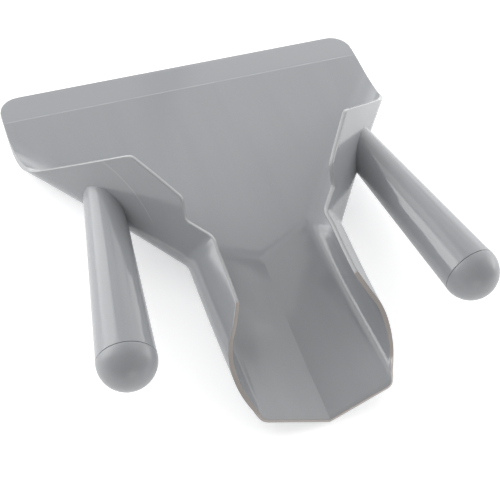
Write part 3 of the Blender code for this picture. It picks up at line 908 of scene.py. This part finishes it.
@dataclass
class Handle:
    """A hollow tapered handle that sits on the shoulder's outside, over a moulded stud."""

    line: HandleLine
    gap: float = 0.3
    body_wall: float = 2.4
    stud_radius: float = 6.2
    stud_top: float = 13.0
    web: float = 4.0
    pilot: float = 2.2
    bead_play: float = 0.15
    chamfer: float = 0.8            # on the stud's end
    clear: float = 0.02             # kept between the tube and the body's skin

    def build_tube(self) -> Object:
        """Make the handle: a closed profile carried round the axis, whose two inner ends follow the wall.

        Returns:
            The piece.
        """
        line = self.line
        top = line.length() - line.seam_gap / 2.0
        low_outer = line.saddle(line.root_radius, self.body_wall / 2.0 + self.clear)
        low_inner = line.saddle(self.stud_radius + self.gap, self.body_wall / 2.0 + self.clear)
        share = np.linspace(0.0, 1.0, 70)[:, None]
        tube_along = low_outer[None] + (top - line.edge - low_outer[None]) * share
        tube_radius = line.outer(tube_along)
        bend = np.linspace(0.0, math.pi / 2, 6)[1:]
        rim_along = top - line.edge + line.edge * np.sin(bend)
        rim_radius = line.outer(top) - line.edge + line.edge * np.cos(bend)
        groove = top - line.bead_at
        reach = line.bead_width / 2.0 + self.gap
        web_low = self.stud_top + self.gap
        bore = np.array([top, groove + reach, groove, groove - reach, web_low + self.web])
        bore_radius = line.outer(bore) - line.wall
        bore_radius[2] += line.bead_height + self.bead_play
        web_along = np.array([web_low + self.web, web_low, web_low])
        web_radius = np.array([self.pilot, self.pilot, self.stud_radius + self.gap])
        ring = np.ones(line.steps)
        along = np.concatenate((
            tube_along, np.concatenate((rim_along, bore, web_along))[:, None] * ring, low_inner[None]))
        radius = np.concatenate((
            tube_radius, np.concatenate((rim_radius, bore_radius, web_radius))[:, None] * ring,
            (self.stud_radius + self.gap) * ring[None]))
        piece = line.piece(f"handle_{line.side.label}_tube", line.turned(radius, along), closed=True)
        declare(piece, f"handle_{line.side.label}")
        return piece

    def build_stud(self) -> Object:
        """Make the stud that the handle slips over, from the middle of the wall to its chamfered end.

        Returns:
            The piece.
        """
        line = self.line
        buried = 0.2                    # above the wall's middle, so inside its skin
        outer_low = line.saddle(self.stud_radius, buried)
        inner_low = line.saddle(self.pilot, buried)
        ring = np.ones(line.steps)
        share = np.linspace(0.0, 1.0, 12)[:, None]
        outer_along = outer_low[None] + (self.stud_top - self.chamfer - outer_low[None]) * share
        inner_along = self.stud_top + (inner_low[None] - self.stud_top) * share
        along = np.concatenate((outer_along, self.stud_top * ring[None], inner_along))
        radius = np.concatenate((
            np.full(outer_along.shape, self.stud_radius), (self.stud_radius - self.chamfer) * ring[None],
            np.full(inner_along.shape, self.pilot)))
        piece = line.piece(f"handle_{line.side.label}_stud", line.turned(radius, along), closed=True)
        declare(piece)
        return piece


@dataclass
class EndCap:
    """The domed cap that plugs a handle's bore, with a hollow skirt and a snap bead."""

    line: HandleLine
    play: float = 0.5               # between the skirt and the handle's bore
    skirt: float = 11.0
    wall: float = 2.4
    end_break: float = 0.3          # small chamfer on the skirt's end

    def build(self) -> Object:
        """Make the cap: half a ball outside, a smaller half ball inside, and the skirt between.

        Returns:
            The piece.
        """
        line = self.line
        length = line.length()
        seam = length + line.seam_gap / 2.0
        dome = float(line.outer(length))
        plug = dome - line.wall - self.play
        taper = (line.seam_radius - line.root_radius) / length
        bead = length - line.seam_gap / 2.0 - line.bead_at
        end = seam - self.skirt
        low = math.asin(line.edge / dome)
        fall = np.linspace(math.pi / 2, low, 44)
        bend = np.linspace(0.0, math.pi / 2, 6)[1:]
        rise = np.linspace(0.0, math.pi / 2, 14)
        skirt_at = np.array([seam, bead + line.bead_width / 2.0, bead, bead - line.bead_width / 2.0, end])
        skirt_radius = plug - taper * (seam - skirt_at)
        skirt_radius[2] += line.bead_height
        skirt_radius[4] -= self.end_break
        inner = plug - self.wall
        radius = np.concatenate((
            dome * np.cos(fall), dome * math.cos(low) - line.edge + line.edge * np.cos(bend), skirt_radius,
            [plug - taper * self.skirt - self.wall], inner * np.cos(rise)))
        along = np.concatenate((
            seam + dome * np.sin(fall), seam + line.edge - line.edge * np.sin(bend), skirt_at,
            [end], seam + inner * np.sin(rise)))
        piece = line.piece(f"end_cap_{line.side.label}_dome", line.turned(radius, along), closed=False)
        declare(piece, f"end_cap_{line.side.label}")
        return piece


# -------- studio


@dataclass(frozen=True)
class SoftRing:
    """Softboxes side by side on a ring round the scoop, all facing its middle."""

    elevation: float                # degrees above the floor
    width: float                    # metres
    powers: tuple[tuple[float, float], ...]     # degrees from the handles' side to the right, and watts
    height: float = 0.41
    distance: float = 1.3
    target: tuple[float, float, float] = (0.0, 0.0, 0.02)

    def build(self) -> None:
        """Hang the lights and turn them to their target."""
        elevation = math.radians(self.elevation)
        for degrees, power in self.powers:
            name = f"softbox_{self.elevation:.0f}_{degrees:.0f}"
            lamp = bpy.data.lights.new(name, "AREA")
            lamp.shape = "RECTANGLE"
            lamp.size, lamp.size_y, lamp.energy = self.width, self.height, power
            azimuth = math.radians(degrees)
            away = Vector((
                math.sin(azimuth) * math.cos(elevation), -math.cos(azimuth) * math.cos(elevation),
                math.sin(elevation)))
            obj = add_object(name, lamp)
            obj.location = Vector(self.target) + away * self.distance
            obj.rotation_mode = "QUATERNION"
            obj.rotation_quaternion = (-away).to_track_quat("-Z", "Y")


@dataclass
class Studio:
    """Pale floor, soft light and the camera."""

    rest: RestPose
    floor_colour: str = "#fafafa"
    floor_glow: float = 0.42
    world_strength: float = 0.5
    focal_mm: float = 83.6
    camera_place: tuple = (-0.16934, -0.33141, 0.49313)
    camera_right: tuple = (0.93725, -0.33905, 0.08132)
    camera_up: tuple = (0.22534, 0.76701, 0.60077)
    lights: tuple[SoftRing, ...] = (
        SoftRing(8.0, 0.67, (
            (0.0, 1.5), (90.0, 3.7), (120.0, 1.4), (150.0, 1.4), (180.0, 1.0), (210.0, 2.6), (240.0, 3.5))),
        SoftRing(26.0, 0.605, (
            (90.0, 1.5), (120.0, 0.94), (150.0, 0.97), (180.0, 0.55), (210.0, 2.35), (240.0, 3.3))),
        SoftRing(44.0, 0.485, (
            (60.0, 0.3), (90.0, 0.36), (120.0, 0.73), (150.0, 0.57), (180.0, 0.42), (210.0, 1.0),
            (240.0, 1.1))),
        SoftRing(62.0, 0.6, ((120.0, 0.86), (180.0, 0.27), (240.0, 0.42))),
    )

    def build_floor(self) -> None:
        """Make the floor, a wide pale plate of opal board with a little light from below."""
        mesh = bpy.data.meshes.new("floor")
        reach = 6.0
        corners = [(-reach, -reach, 0.0), (reach, -reach, 0.0), (reach, reach, 0.0), (-reach, reach, 0.0)]
        mesh.from_pydata(corners, [], [(0, 1, 2, 3)])
        floor = add_object("floor", mesh)
        material, tree, shader = new_material("opal_board_lit_from_below")
        set_inputs(tree, shader, {
            "Base Color": linear(self.floor_colour), "Roughness": 0.9,
            "Emission Color": WHITE, "Emission Strength": self.floor_glow})
        mesh.materials.append(material)

    def build_light(self) -> None:
        """Make the even sky and hang the softboxes."""
        world = bpy.data.worlds.new("studio")
        world.use_nodes = True
        tree = world.node_tree
        set_inputs(tree, tree.nodes["Background"], {"Color": WHITE, "Strength": self.world_strength})
        bpy.context.scene.world = world
        for light in self.lights:
            light.build()

    def build_camera(self) -> None:
        """Place the camera: its axes are given in the design frame and carried by the resting pose."""
        right, up = Vector(self.camera_right).normalized(), Vector(self.camera_up)
        back = right.cross(up).normalized()
        up = back.cross(right)
        turn = Matrix((right, up, back)).transposed().to_4x4()
        data = bpy.data.cameras.new("camera")
        data.lens = self.focal_mm
        data.sensor_width = 36.0
        camera = add_object("camera", data)
        camera.matrix_world = self.rest.matrix() @ Matrix.Translation(self.camera_place) @ turn
        bpy.context.scene.camera = camera


def main() -> None:
    """Build the pieces, the finishes and the studio, in order."""
    logging.basicConfig(level=logging.INFO, format="%(name)s: %(message)s")
    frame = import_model()
    scene = bpy.context.scene
    scene.view_settings.view_transform = "Standard"

    sheet = ScoopSheet()
    rest = RestPose.of(sheet, wall=ScoopBody.wall, lip=ScoopBody.lip_edge)
    lip_start = np.array([[0.0, sheet.front_y - ScoopBody.lip_depth, ScoopBody.wall / 2.0]])
    body_plastic = MouldedPlastic(lip_y=float(rest.to_row(lip_start)[0, 1])).build()
    grip_plastic = MouldedPlastic(name="polycarbonate_injection_moulded_grip", flow_width=9.0).build()
    cap_plastic = MouldedPlastic(name="polycarbonate_injection_moulded_cap", roughness=0.33).build()
    steel = HeadedSteel().build()

    dressed = [(ScoopBody(sheet, rest).build(), body_plastic)]
    for side in Side:
        line = HandleLine(sheet, rest, side)
        handle = Handle(line)
        dressed += (
            (handle.build_tube(), grip_plastic), (handle.build_stud(), grip_plastic),
            (EndCap(line).build(), cap_plastic))
        for kind in ("screw_washer", "handle_screw"):
            node = frame["nodes"][f"{kind}_{side.label}"]
            node.data.materials.clear()
            node.data.materials.append(steel)
            LOG.info("%s keeps its solid", node.name)
    for piece, plastic in dressed:
        piece.data.materials.append(plastic)
        LOG.info("%s: %d faces", piece.name, len(piece.data.polygons))

    studio = Studio(rest)
    studio.build_floor()
    studio.build_light()
    studio.build_camera()


if __name__ == "__main__":
    main()
